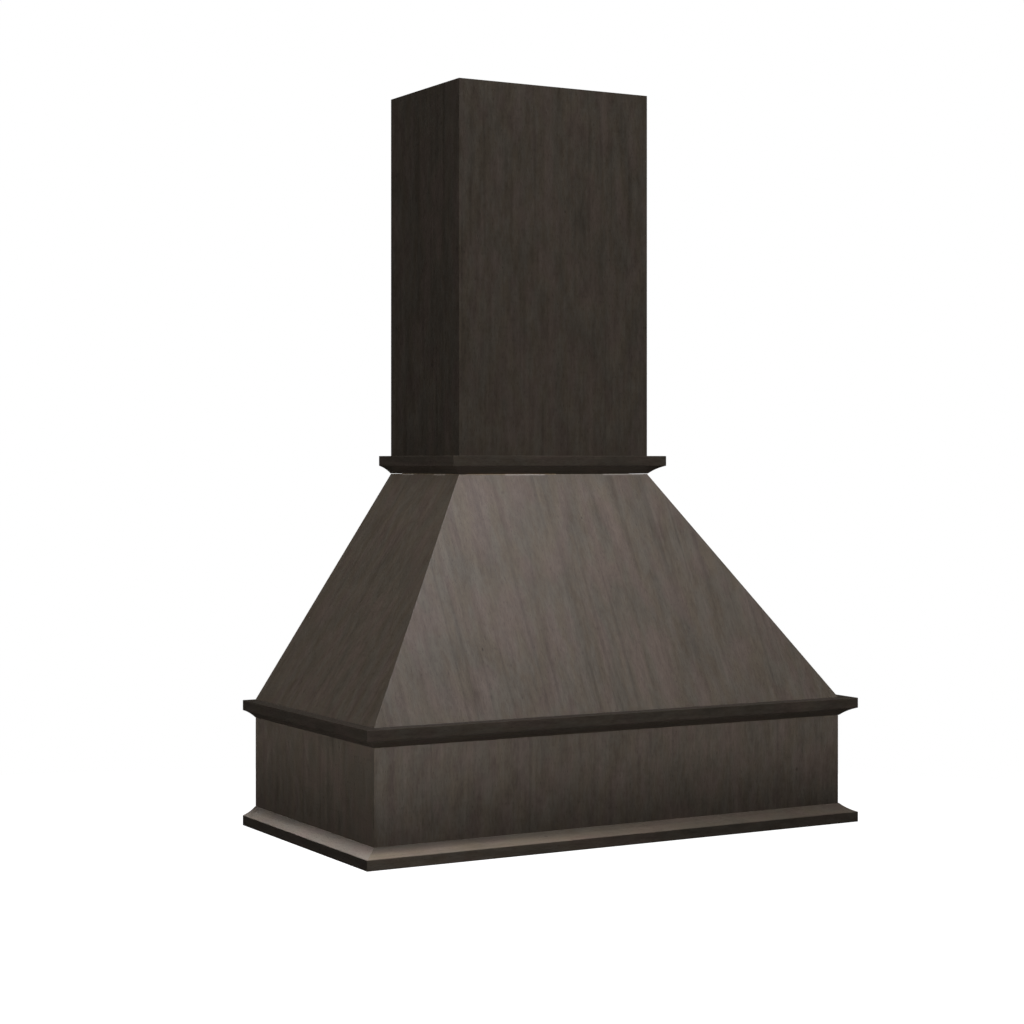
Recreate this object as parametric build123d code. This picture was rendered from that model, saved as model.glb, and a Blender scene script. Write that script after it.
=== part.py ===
from build123d import *
from math import hypot
import os

# Wooden range hood cover: an apron box, a tapered canopy and a chimney, hung on the wall by a bevelled cleat.
# X runs to the right, Y towards the wall and Z up. The origin is on the wall, in the middle of the underside.

# ---- Overall size ----
overall_width = 914.4
overall_depth = 457.2
overall_height = 1219.2

# ---- Modules ----
waist_height = 206.6  # underside to the seam between apron and canopy
neck_height = 579.1  # underside to the head of the canopy
chimney_width = 364.6
chimney_depth = 239.6
neck_seam = 0.6  # hairline under the chimney's boards, whose foot cleats stand on the canopy

# ---- Moulding: one section serves all three bands ----
moulding_projection = 23.0
moulding_band = 16.6  # upright face
moulding_slope = 13.1  # height of the hollowed face next to it
moulding_lip = 1.0  # thickness left at the thin edge
moulding_hollow = 1.5  # depth of the hollow
arris = 0.8  # radius of the eased outer edges

# ---- Visible boards and the splines in their mitres ----
apron_board = 18.0
canopy_board = 12.0
chimney_board = 12.0
spline_thickness = 4.0
spline_width = 10.0
spline_setback = 6.0  # inner corner of the mitre to the middle of the spline
spline_stop = 20.0  # end of the board to the end of the spline
spline_clearance = 0.1

# ---- Apron framing ----
back_board = 18.0
corner_post = 30.0
ledger_thickness = 20.0
ledger_height = 40.0
insert_recess = 38.1  # underside of the cover to the underside of the insert frame
insert_board = 18.0
insert_side_board_width = 60.6
insert_front_board_width = 34.0  # the back one's too

# ---- Canopy framing ----
nailer_thickness = 30.0
nailer_drop = 30.0  # below the waist seam
nailer_rise = 38.0  # above the waist seam
hip_block_leg = 30.0
hanging_block_leg = 25.0
head_rail_width = 30.0
head_rail_board = 18.0
rail_board = 18.0  # hanging rail, wall cleat and the chimney's back rails
hanging_rail_height = 149.1  # head of the canopy down to the low edge of the bevel on the wall cleat
wall_cleat_length = 480.0
wall_cleat_height = 70.0

# ---- Chimney framing ----
chimney_rail_height = 60.0
chimney_cleat_thickness = 18.0
chimney_cleat_height = 30.0
chimney_corner_block = 25.0

# ---- Wood screws ----
screw_diameter = 4.0
screw_head_diameter = 8.0
screw_point = 4.0
screw_drive = 2.4  # across the flats of the square recess
screw_drive_depth = 1.8
screw_clearance = 0.05
ledger_screw_length = 32.0
insert_screw_length = 36.0
foot_screw_length = 40.0
ledger_screw_spacing = 500.0  # along the front and back ledgers
ledger_side_screw_spacing = 150.0
insert_screw_spacing = 620.0  # along the front and back of the insert frame
insert_side_screw_spacing = 220.0
foot_screw_spacing = 110.0

# ---- Holes for fixing the cover ----
stud_spacing = 406.4
cleat_hole_diameter = 8.0
back_hole_diameter = 5.0
back_hole_height = 150.0
ceiling_hole_diameter = 5.0
ceiling_hole_spacing = 110.0
insert_hole_diameter = 3.0
insert_hole_setback = 19.05  # edge of the insert's opening to the holes beside it
insert_hole_spacing = 254.0

overcut = 5.0  # cutting solids run this far past what they cut


def between(first, second):
    """Solid with flat faces between two outlines whose points are in the same order."""
    faces = [Face(Wire.make_polygon(first)), Face(Wire.make_polygon(second))]
    for index, corner in enumerate(first):
        side = [first[index - 1], corner, second[index], second[index - 1]]
        faces.append(Face(Wire.make_polygon(side)))
    return Solid(Shell(faces))


def block(x_span, y_span, z_span):
    """Rectangular block between a low and a high value along each axis."""
    size = [high - low for low, high in (x_span, y_span, z_span)]
    return Pos(x_span[0], y_span[0], z_span[0]) * Box(*size, align=Align.MIN)


def pair(spacing):
    """Both offsets of a pair that is centred on zero."""
    return (-spacing / 2, spacing / 2)


def mirrored(piece):
    """The right-hand twin of a left-hand piece."""
    return mirror(piece, about=Plane.YZ)


class Casing:
    """Three boards mitred into a casing that is open at the wall and may lean in towards its head."""

    def __init__(self, foot, head, foot_z, head_z, board):
        """foot and head are the width and depth over the boards at foot_z and head_z."""
        self.foot_width, self.foot_depth = foot
        self.foot_z = foot_z
        self.head_z = head_z
        self.board = board
        self.side_lean = (foot[0] - head[0]) / 2 / (head_z - foot_z)
        self.front_lean = (foot[1] - head[1]) / (head_z - foot_z)

    def half_width(self, z, inset=0.0):
        """Half the width at height z, at a surface that lies inset under the outer face."""
        outer = self.foot_width / 2 - self.side_lean * (z - self.foot_z)
        return outer - inset * hypot(1, self.side_lean)

    def depth(self, z, inset=0.0):
        """Depth at height z, from the wall to a surface that lies inset under the outer face."""
        outer = self.foot_depth - self.front_lean * (z - self.foot_z)
        return outer - inset * hypot(1, self.front_lean)

    def outline(self, z, inset=0.0, back=0.0):
        """Four corners of the horizontal section at height z."""
        across = self.half_width(z, inset)
        front = -self.depth(z, inset)
        return [(-across, back, z), (-across, front, z), (across, front, z), (across, back, z)]

    def filled(self, inset=0.0, past=0.0):
        """Everything inside one surface, carried past the foot, the head and the wall."""
        low = self.outline(self.foot_z - past, inset, past)
        high = self.outline(self.head_z + past, inset, past)
        return between(low, high)

    def corner(self, side, z, inset=0.0):
        """Front corner at height z. side is -1 on the left and 1 on the right."""
        return Vector(side * self.half_width(z, inset), -self.depth(z, inset), z)

    def mitre(self, side):
        """Plane of a front corner's mitre, facing the front board."""
        foot = self.corner(side, self.foot_z)
        upward = self.corner(side, self.head_z) - foot
        inward = self.corner(side, self.foot_z, self.board) - foot
        return Plane(origin=foot, z_dir=upward.cross(inward) * side)

    def spline_section(self, side, z, clearance):
        """Horizontal section of a spline, which lies square across the mitre."""
        inner = self.corner(side, z, self.board)
        outward = (self.corner(side, z) - inner).normalized()
        centre = inner + outward * spline_setback
        thick = outward * (spline_thickness / 2 + clearance)
        wide = outward.rotate(Axis.Z, 90) * (spline_width / 2 + clearance)
        return [centre - thick - wide, centre - thick + wide, centre + thick + wide, centre + thick - wide]

    def spline(self, side, clearance=0.0):
        """Plywood tongue in one mitre, stopped short of the foot and the head."""
        low = self.foot_z + spline_stop - clearance
        high = self.head_z - spline_stop + clearance
        return between(self.spline_section(side, low, clearance), self.spline_section(side, high, clearance))

    def boards(self):
        """Front, left and right boards with eased corners, mitres and spline grooves."""
        outer = self.filled()
        rising = [edge for edge in outer.edges() if edge.bounding_box().size.Z > arris]
        hips = [edge for edge in rising if edge.center().Y < -arris]
        shell = fillet(hips, radius=arris) - self.filled(self.board, overcut)
        shell = shell - [self.spline(-1, spline_clearance), self.spline(1, spline_clearance)]
        front = split(split(shell, self.mitre(-1), keep=Keep.TOP), self.mitre(1), keep=Keep.TOP)
        left = split(split(shell, Plane.YZ, keep=Keep.BOTTOM), self.mitre(-1), keep=Keep.BOTTOM)
        return front, left, mirrored(left)

    def splines(self):
        """Both tongues as one group."""
        return Compound([self.spline(-1), self.spline(1)])


apron = Casing(
    foot=(overall_width - 2 * moulding_projection, overall_depth - moulding_projection),
    head=(overall_width - 2 * moulding_projection, overall_depth - moulding_projection),
    foot_z=0.0,
    head_z=waist_height,
    board=apron_board,
)
canopy = Casing(
    foot=(apron.foot_width, apron.foot_depth),
    head=(chimney_width, chimney_depth),
    foot_z=waist_height,
    head_z=neck_height,
    board=canopy_board,
)
chimney = Casing(
    foot=(chimney_width, chimney_depth),
    head=(chimney_width, chimney_depth),
    foot_z=neck_height + neck_seam,
    head_z=overall_height,
    board=chimney_board,
)

pieces = {}


# ---- Casings ----
def add_boards(name, casing):
    """Adds the three boards and the splines of one casing."""
    front, left, right = casing.boards()
    pieces[name + "_front_panel"] = front
    pieces[name + "_left_panel"] = left
    pieces[name + "_right_panel"] = right
    pieces[name + "_mitre_splines"] = casing.splines()


# ---- Mouldings ----
def moulding_section(upward):
    """Section whose X leads away from the board. upward is 1 with the band below and -1 with it on top."""
    band = upward * moulding_band
    full = upward * (moulding_band + moulding_slope)
    flats = Polyline(
        (moulding_lip, full),
        (0, full),
        (0, 0),
        (moulding_projection, 0),
        (moulding_projection, band),
    )
    hollow = SagittaArc((moulding_projection, band), (moulding_lip, full), upward * moulding_hollow)
    section = make_face(flats.edges() + hollow.edges())
    return fillet(section.vertices().group_by(Axis.X)[-1], radius=arris)


def add_mouldings(name, casing, z, upward):
    """Adds three runs round an upright casing, mitred at its front corners and square at the wall."""
    section = moulding_section(upward)
    half = casing.half_width(z)
    depth = casing.depth(z)
    left_mitre = Plane(origin=(-half, -depth, z), z_dir=(1, -1, 0))
    right_mitre = Plane(origin=(half, -depth, z), z_dir=(-1, -1, 0))
    front_end = Plane(origin=(half + moulding_projection, -depth, z), x_dir=(0, -1, 0), z_dir=(-1, 0, 0))
    left_end = Plane(origin=(-half, -depth - moulding_projection, z), x_dir=(-1, 0, 0), z_dir=(0, 1, 0))
    front = extrude(front_end * section, amount=2 * (half + moulding_projection))
    left = extrude(left_end * section, amount=depth + moulding_projection)
    front = split(split(front, left_mitre, keep=Keep.TOP), right_mitre, keep=Keep.TOP)
    left = split(left, left_mitre, keep=Keep.BOTTOM)
    pieces[name + "_moulding_front"] = front
    pieces[name + "_moulding_left"] = left
    pieces[name + "_moulding_right"] = mirrored(left)


# ---- Apron framing ----
apron_half = apron.half_width(0.0, apron_board)  # inside faces of the apron's boards
apron_front = -apron.depth(0.0, apron_board)
apron_back = -back_board
insert_middle = (apron_front + apron_back) / 2
insert_side = apron_half - insert_side_board_width  # half the opening's width
insert_top = insert_recess + insert_board
ledger_top = insert_top + ledger_height
nailer_low = waist_height - nailer_drop
nailer_high = waist_height + nailer_rise
head_rail_low = neck_height - head_rail_board
cleat_joint_height = neck_height - hanging_rail_height


def add_apron_back():
    """Adds the board that closes the apron at the wall, drilled for two studs."""
    panel = block((-apron_half, apron_half), (-back_board, 0), (0, waist_height))
    for x in pair(stud_spacing):
        hole = Plane(origin=(x, 0, back_hole_height), z_dir=(0, 1, 0))
        panel -= hole * Cylinder(back_hole_diameter / 2, 2 * (back_board + overcut))
    pieces["apron_back_panel"] = panel


def add_posts():
    """Adds the glue blocks in the apron's four corners, between the ledgers and the nailers."""
    x_span = (-apron_half, -apron_half + corner_post)
    z_span = (ledger_top, nailer_low)
    front = block(x_span, (apron_front, apron_front + corner_post), z_span)
    back = block(x_span, (apron_back - corner_post, apron_back), z_span)
    pieces["front_left_post"] = front
    pieces["front_right_post"] = mirrored(front)
    pieces["back_left_post"] = back
    pieces["back_right_post"] = mirrored(back)


def add_ledgers():
    """Adds the strips round the inside of the apron that carry the insert frame."""
    z_span = (insert_top, ledger_top)
    front_inner = apron_front + ledger_thickness
    back_inner = apron_back - ledger_thickness
    left = block((-apron_half, -apron_half + ledger_thickness), (front_inner, back_inner), z_span)
    pieces["ledger_front"] = block((-apron_half, apron_half), (apron_front, front_inner), z_span)
    pieces["ledger_back"] = block((-apron_half, apron_half), (back_inner, apron_back), z_span)
    pieces["ledger_left"] = left
    pieces["ledger_right"] = mirrored(left)


def add_insert_frame():
    """Adds the ring of boards round the insert's opening, drilled for the insert's four screws."""
    z_span = (insert_recess, insert_top)
    front_edge = apron_front + insert_front_board_width
    back_edge = apron_back - insert_front_board_width
    left = block((-apron_half, -insert_side), (front_edge, back_edge), z_span)
    for offset in pair(insert_hole_spacing):
        hole = Pos(-insert_side - insert_hole_setback, insert_middle + offset, insert_recess)
        left -= hole * Cylinder(insert_hole_diameter / 2, 2 * (insert_board + overcut))
    pieces["insert_frame_front"] = block((-apron_half, apron_half), (apron_front, front_edge), z_span)
    pieces["insert_frame_back"] = block((-apron_half, apron_half), (back_edge, apron_back), z_span)
    pieces["insert_frame_left"] = left
    pieces["insert_frame_right"] = mirrored(left)


# ---- Canopy framing ----
def nailer_section(inner, lean, inset):
    """Distance inwards and height of a nailer's corners. Its upper part lies on the leaning canopy board."""
    touch = waist_height + inset / lean
    top = (nailer_high - touch) * lean
    corners = [(0, nailer_low), (0, touch), (top, nailer_high)]
    corners += [(nailer_thickness, nailer_high), (nailer_thickness, nailer_low)]
    return [(inner + away, z) for away, z in corners]


def add_nailers():
    """Adds the bevelled strips that join the canopy's boards to the apron's."""
    front_inset = apron_board - canopy_board * hypot(1, canopy.front_lean)
    side_inset = apron_board - canopy_board * hypot(1, canopy.side_lean)
    front_corners = nailer_section(apron_front, canopy.front_lean, front_inset)
    side_corners = nailer_section(-apron_half, canopy.side_lean, side_inset)
    room = canopy.filled(canopy_board, waist_height)
    room = room & block((-apron_half, apron_half), (apron_front, apron_back), (0, neck_height))
    front = between(
        [(-apron_half, y, z) for y, z in front_corners],
        [(apron_half, y, z) for y, z in front_corners],
    )
    left = between(
        [(x, apron_front + nailer_thickness, z) for x, z in side_corners],
        [(x, apron_back, z) for x, z in side_corners],
    )
    pieces["canopy_front_nailer"] = front & room
    pieces["canopy_left_nailer"] = left & room
    pieces["canopy_right_nailer"] = mirrored(left & room)


def glue_block(low_corner, high_corner, leg, towards):
    """Three-sided block in a leaning corner. towards is 1 if its leg along Y runs to the wall, or else -1."""
    across = Vector(leg, 0)
    along = Vector(0, towards * leg)
    return between(*([corner, corner + across, corner + along] for corner in (low_corner, high_corner)))


def add_hip_blocks():
    """Adds the glue blocks behind the hips, from the nailers to the head rails."""
    low = canopy.corner(-1, nailer_high, canopy_board)
    high = canopy.corner(-1, head_rail_low, canopy_board)
    left = glue_block(low, high, hip_block_leg, 1)
    pieces["canopy_left_hip_block"] = left
    pieces["canopy_right_hip_block"] = mirrored(left)


def add_hanging_blocks():
    """Adds the glue blocks that tie the hanging rail to the side boards, up to the head rails."""
    low_z = cleat_joint_height + rail_board
    low = Vector(-canopy.half_width(low_z, canopy_board), -rail_board, low_z)
    high = Vector(-canopy.half_width(head_rail_low, canopy_board), -rail_board, head_rail_low)
    left = glue_block(low, high, hanging_block_leg, -1)
    pieces["hanging_rail_left_block"] = left
    pieces["hanging_rail_right_block"] = mirrored(left)


def add_head_rails():
    """Adds the two boards at the canopy's head that the chimney stands on."""
    inner = head_rail_width - canopy.half_width(neck_height, canopy_board)
    sections = []
    for z in (head_rail_low, neck_height):
        outer = -canopy.half_width(z, canopy_board)
        front = -canopy.depth(z, canopy_board)
        corners = [(outer, front), (inner, front), (inner, -rail_board), (outer, -rail_board)]
        sections.append([(x, y, z) for x, y in corners])
    left = between(*sections)
    pieces["canopy_left_head_rail"] = left
    pieces["canopy_right_head_rail"] = mirrored(left)


def add_wall_cleats():
    """Adds the hanging rail and the cleat that it hooks on, which meet on a 45 degree bevel."""
    high = canopy.half_width(neck_height, canopy_board)
    end = wall_cleat_length / 2
    bottom = cleat_joint_height + rail_board - wall_cleat_height
    rail_faces = []
    cleat_faces = []
    for y, z in ((0.0, cleat_joint_height), (-rail_board, cleat_joint_height + rail_board)):
        low = canopy.half_width(z, canopy_board)
        rail_faces.append([(-low, y, z), (low, y, z), (high, y, neck_height), (-high, y, neck_height)])
        cleat_faces.append([(-end, y, bottom), (end, y, bottom), (end, y, z), (-end, y, z)])
    pieces["hanging_rail"] = between(*rail_faces)
    cleat = between(*cleat_faces)
    for x in pair(stud_spacing):
        hole = Plane(origin=(x, 0, (bottom + cleat_joint_height) / 2), z_dir=(0, 1, 0))
        cleat -= hole * Cylinder(cleat_hole_diameter / 2, 2 * (rail_board + overcut))
    pieces["wall_cleat"] = cleat


# ---- Chimney framing ----
chimney_half = chimney.half_width(overall_height, chimney_board)
chimney_front = -chimney.depth(overall_height, chimney_board)
chimney_cleat_middle = -chimney_half + chimney_cleat_thickness / 2
chimney_cleat_front = chimney_front + chimney_corner_block
chimney_cleat_centre = (chimney_cleat_front - rail_board) / 2


def add_chimney_back_rails():
    """Adds the two rails that close the chimney's back at its foot and head."""
    spans = (-chimney_half, chimney_half), (-rail_board, 0)
    foot_span = (chimney.foot_z, chimney.foot_z + chimney_rail_height)
    head_span = (overall_height - chimney_rail_height, overall_height)
    pieces["chimney_bottom_back_rail"] = block(*spans, foot_span)
    pieces["chimney_top_back_rail"] = block(*spans, head_span)


def add_corner_blocks():
    """Adds the full-height glue blocks in the chimney's front corners."""
    x_span = (-chimney_half, -chimney_half + chimney_corner_block)
    y_span = (chimney_front, chimney_front + chimney_corner_block)
    left = block(x_span, y_span, (chimney.foot_z, overall_height))
    pieces["chimney_left_corner_block"] = left
    pieces["chimney_right_corner_block"] = mirrored(left)


def add_chimney_cleats():
    """Adds the cleats that stand on the canopy and those that are screwed to the ceiling."""
    x_span = (-chimney_half, -chimney_half + chimney_cleat_thickness)
    y_span = (chimney_cleat_front, -rail_board)
    foot = block(x_span, y_span, (neck_height, neck_height + chimney_cleat_height))
    head = block(x_span, y_span, (overall_height - chimney_cleat_height, overall_height))
    for offset in pair(ceiling_hole_spacing):
        hole = Pos(chimney_cleat_middle, chimney_cleat_centre + offset, overall_height)
        head -= hole * Cylinder(ceiling_hole_diameter / 2, 2 * (chimney_cleat_height + overcut))
    pieces["chimney_left_foot_cleat"] = foot
    pieces["chimney_right_foot_cleat"] = mirrored(foot)
    pieces["chimney_left_head_cleat"] = head
    pieces["chimney_right_head_cleat"] = mirrored(head)


# ---- Screws ----
def screw(length, clearance=0.0):
    """Countersunk wood screw with the flat of its head on XY and its point down."""
    shank = screw_diameter / 2 + clearance
    head = screw_head_diameter / 2 + clearance
    profile = Polyline(
        (0, 0),
        (head, 0),
        (shank, shank - head),
        (shank, screw_point - length),
        (0, -length - clearance),
        close=True,
    )
    return revolve(Plane.XZ * make_face(profile), axis=Axis.Z)


def add_screws(name, length, places, holders):
    """Adds one group of identical screws and cuts their holes in the pieces that hold them."""
    holes = [place * screw(length, screw_clearance) for place in places]
    for holder in holders:
        pieces[holder] = pieces[holder] - holes
    recess = Box(screw_drive, screw_drive, 2 * screw_drive_depth)
    pieces[name] = Compound([place * (screw(length) - recess) for place in places])


def add_ledger_screws():
    """Adds the screws that hold each ledger to the board behind it."""
    z = (insert_top + ledger_top) / 2
    front_face = apron_front + ledger_thickness
    back_face = apron_back - ledger_thickness
    side_face = apron_half - ledger_thickness
    places = []
    for offset in pair(ledger_screw_spacing):
        places.append(Plane(origin=(offset, front_face, z), z_dir=(0, 1, 0)).location)
        places.append(Plane(origin=(offset, back_face, z), z_dir=(0, -1, 0)).location)
    for offset in pair(ledger_side_screw_spacing):
        places.append(Plane(origin=(-side_face, insert_middle + offset, z), z_dir=(1, 0, 0)).location)
        places.append(Plane(origin=(side_face, insert_middle + offset, z), z_dir=(-1, 0, 0)).location)
    holders = ["ledger_front", "ledger_back", "ledger_left", "ledger_right"]
    holders += ["apron_front_panel", "apron_back_panel", "apron_left_panel", "apron_right_panel"]
    add_screws("ledger_screws", ledger_screw_length, places, holders)


def add_insert_screws():
    """Adds the screws that hold the insert frame up to the ledgers."""
    front = apron_front + ledger_thickness / 2
    back = apron_back - ledger_thickness / 2
    side = apron_half - ledger_thickness / 2
    spots = []
    for offset in pair(insert_screw_spacing):
        spots += [(offset, front), (offset, back)]
    for offset in pair(insert_side_screw_spacing):
        spots += [(-side, insert_middle + offset), (side, insert_middle + offset)]
    places = [Plane(origin=(x, y, insert_recess), z_dir=(0, 0, -1)).location for x, y in spots]
    holders = ["insert_frame_front", "insert_frame_back", "insert_frame_left", "insert_frame_right"]
    holders += ["ledger_front", "ledger_back", "ledger_left", "ledger_right"]
    add_screws("insert_frame_screws", insert_screw_length, places, holders)


def add_foot_screws():
    """Adds the screws that hold the chimney's foot cleats down on the canopy's head rails."""
    top = neck_height + chimney_cleat_height
    places = []
    for x in (chimney_cleat_middle, -chimney_cleat_middle):
        for offset in pair(foot_screw_spacing):
            places.append(Pos(x, chimney_cleat_centre + offset, top))
    holders = ["chimney_left_foot_cleat", "chimney_right_foot_cleat"]
    holders += ["canopy_left_head_rail", "canopy_right_head_rail"]
    add_screws("chimney_foot_screws", foot_screw_length, places, holders)


# ---- The whole cover ----
add_boards("apron", apron)
add_boards("canopy", canopy)
add_boards("chimney", chimney)
add_mouldings("base", apron, 0.0, 1)
add_mouldings("waist", apron, waist_height, -1)
add_mouldings("neck", chimney, chimney.foot_z + moulding_band + moulding_slope, -1)
add_apron_back()
add_posts()
add_ledgers()
add_insert_frame()
add_nailers()
add_hip_blocks()
add_hanging_blocks()
add_head_rails()
add_wall_cleats()
add_chimney_back_rails()
add_corner_blocks()
add_chimney_cleats()
add_ledger_screws()
add_insert_screws()
add_foot_screws()

os.makedirs("parts", exist_ok=True)
for name, piece in pieces.items():
    export_step(piece, "parts/" + name + ".step")
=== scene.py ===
"""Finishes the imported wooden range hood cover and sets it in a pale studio.

Lengths are in metres, in the part's own frame: X to the right, Y towards the wall and Z up.
"""

import logging
import math
import random
from abc import ABC, abstractmethod
from collections.abc import Iterable, Sequence
from dataclasses import dataclass, replace
from enum import Enum
from typing import Any, ClassVar, Union

import bmesh
import bpy
from mathutils import Matrix, Vector


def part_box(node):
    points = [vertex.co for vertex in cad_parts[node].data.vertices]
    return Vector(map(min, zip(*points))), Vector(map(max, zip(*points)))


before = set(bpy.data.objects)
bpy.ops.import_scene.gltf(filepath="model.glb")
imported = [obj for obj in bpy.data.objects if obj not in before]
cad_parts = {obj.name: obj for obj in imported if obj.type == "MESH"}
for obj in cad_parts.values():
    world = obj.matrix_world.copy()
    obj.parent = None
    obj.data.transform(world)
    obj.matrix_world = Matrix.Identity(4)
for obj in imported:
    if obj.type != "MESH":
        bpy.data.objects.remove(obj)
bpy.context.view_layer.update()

log = logging.getLogger("hood_cover")

Number = Union["Scalar", float]
Socket = bpy.types.NodeSocket
Colour = tuple[float, float, float]
Stops = Sequence[tuple[float, Colour]]

RIGHTWARD = Vector((1.0, 0.0, 0.0))
BACKWARD = Vector((0.0, 1.0, 0.0))
UP = Vector((0.0, 0.0, 1.0))
WHITE: Colour = (1.0, 1.0, 1.0)
CASINGS = ("apron", "canopy", "chimney")


# ---- Shader building ----
class Scalar:
    """A number that varies over a surface, written into sums as plain numbers are."""

    def __init__(self, graph: "Graph", socket: Socket) -> None:
        """Wraps one output socket.

        Args:
            graph: The graph that the socket belongs to.
            socket: The output that carries the number.
        """
        self.graph = graph
        self.socket = socket

    def __add__(self, other: Number) -> "Scalar":
        """The sum."""
        return self.graph.math("ADD", self, other)

    def __radd__(self, other: Number) -> "Scalar":
        """The sum, with the number first."""
        return self.graph.math("ADD", other, self)

    def __sub__(self, other: Number) -> "Scalar":
        """The difference."""
        return self.graph.math("SUBTRACT", self, other)

    def __rsub__(self, other: Number) -> "Scalar":
        """The difference, with the number first."""
        return self.graph.math("SUBTRACT", other, self)

    def __mul__(self, other: Number) -> "Scalar":
        """The product."""
        return self.graph.math("MULTIPLY", self, other)

    def __rmul__(self, other: Number) -> "Scalar":
        """The product, with the number first."""
        return self.graph.math("MULTIPLY", other, self)

    def __abs__(self) -> "Scalar":
        """The size without its sign."""
        return self.graph.math("ABSOLUTE", self)


class Graph:
    """The node tree of one material or world."""

    def __init__(self, owner: bpy.types.ID) -> None:
        """Empties the owner's node tree.

        Args:
            owner: The material or world.
        """
        owner.use_nodes = True
        self.tree = owner.node_tree
        self.tree.nodes.clear()

    def node(
        self,
        kind: str,
        settings: dict[str, Any] | None = None,
        sockets: dict[int | str, Any] | None = None,
    ) -> bpy.types.Node:
        """Adds a node, sets it and then fills its sockets.

        Args:
            kind: The node's type without the ShaderNode prefix.
            settings: Its settings by name. "stops" fills a colour ramp.
            sockets: Values or links by the input's index, name or identifier.

        Returns:
            The new node.
        """
        node = self.tree.nodes.new("ShaderNode" + kind)
        for name, value in (settings or {}).items():
            if name == "stops":
                self.fill_ramp(node.color_ramp, value)
            else:
                setattr(node, name, value)
        by_identifier = {socket.identifier: socket for socket in node.inputs}
        for key, value in (sockets or {}).items():
            socket = by_identifier[key] if key in by_identifier else node.inputs[key]
            if isinstance(value, Scalar):
                value = value.socket
            if isinstance(value, Socket):
                self.tree.links.new(value, socket)
            else:
                socket.default_value = value
        return node

    @staticmethod
    def fill_ramp(ramp: bpy.types.ColorRamp, stops: Stops) -> None:
        """Gives a colour ramp its stops.

        Args:
            ramp: The ramp to fill.
            stops: Positions from 0 to 1 with their colours, in order.
        """
        while len(ramp.elements) < len(stops):
            ramp.elements.new(0.5)
        for element, (position, colour) in zip(ramp.elements, stops):
            element.position = position
            element.color = (*colour, 1.0)

    def scalar(self, node: bpy.types.Node, output: int | str = 0) -> Scalar:
        """One output of a node as a number."""
        return Scalar(self, node.outputs[output])

    def math(self, operation: str, first: Number, second: Number = 0.0) -> Scalar:
        """Adds one Math node.

        Args:
            operation: The Math node's operation.
            first: Its first operand.
            second: Its second operand, where the operation has one.

        Returns:
            The result of the operation.
        """
        return self.scalar(self.node("Math", {"operation": operation}, {0: first, 1: second}))

    def smooth(self, value: Number, low: float, high: float) -> Scalar:
        """Eases from 0 to 1.

        Args:
            value: The number that is read.
            low: Where the result is 0.
            high: Where the result is 1.

        Returns:
            A number from 0 to 1.
        """
        sockets = {"Value": value, "From Min": low, "From Max": high}
        return self.scalar(self.node("MapRange", {"interpolation_type": "SMOOTHSTEP"}, sockets))

    def mix(self, share: Number, first: Socket | Colour, second: Socket | Colour) -> Socket:
        """Mixes two colours.

        Args:
            share: 0 for the first colour and 1 for the second.
            first: The first colour.
            second: The second colour.

        Returns:
            The mixed colour.
        """
        ends = [end if isinstance(end, Socket) else (*end, 1.0) for end in (first, second)]
        sockets = {"Factor_Float": share, "A_Color": ends[0], "B_Color": ends[1]}
        return self.node("Mix", {"data_type": "RGBA", "clamp_factor": True}, sockets).outputs[2]

    def blend(self, share: Number, first: Number, second: Number) -> Scalar:
        """The number that lies a share of the way from the first to the second."""
        return first + share * (second - first)

    def vector(self, operation: str, sockets: dict[int | str, Any]) -> bpy.types.Node:
        """Adds one Vector Math node.

        Args:
            operation: The node's operation.
            sockets: Its operands, by the input's index or name.

        Returns:
            The new node.
        """
        return self.node("VectorMath", {"operation": operation}, sockets)

    def scaled(self, colour: Socket, amount: Number) -> Socket:
        """A colour made lighter or darker by one number."""
        return self.vector("SCALE", {0: colour, "Scale": amount}).outputs[0]

    def dot(self, vector: Socket, direction: Vector) -> Scalar:
        """How far a vector reaches along a fixed direction."""
        return self.scalar(self.vector("DOT_PRODUCT", {0: vector, 1: tuple(direction)}), "Value")

    def length(self, vector: Socket) -> Scalar:
        """How long a vector is."""
        return self.scalar(self.vector("LENGTH", {0: vector}), "Value")


# ---- How the wood is cut ----
class Side(Enum):
    """The three sides of the cover that show, by the way they look."""

    FRONT = (0.0, -1.0, 0.0)
    LEFT = (-1.0, 0.0, 0.0)
    RIGHT = (1.0, 0.0, 0.0)

    @property
    def word(self) -> str:
        """The side as it stands in the names of the pieces."""
        return self.name.lower()

    @property
    def outward(self) -> Vector:
        """Unit vector away from the cover."""
        return Vector(self.value)

    @property
    def along(self) -> Vector:
        """Unit vector along the side, level."""
        return UP.cross(self.outward)


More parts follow.
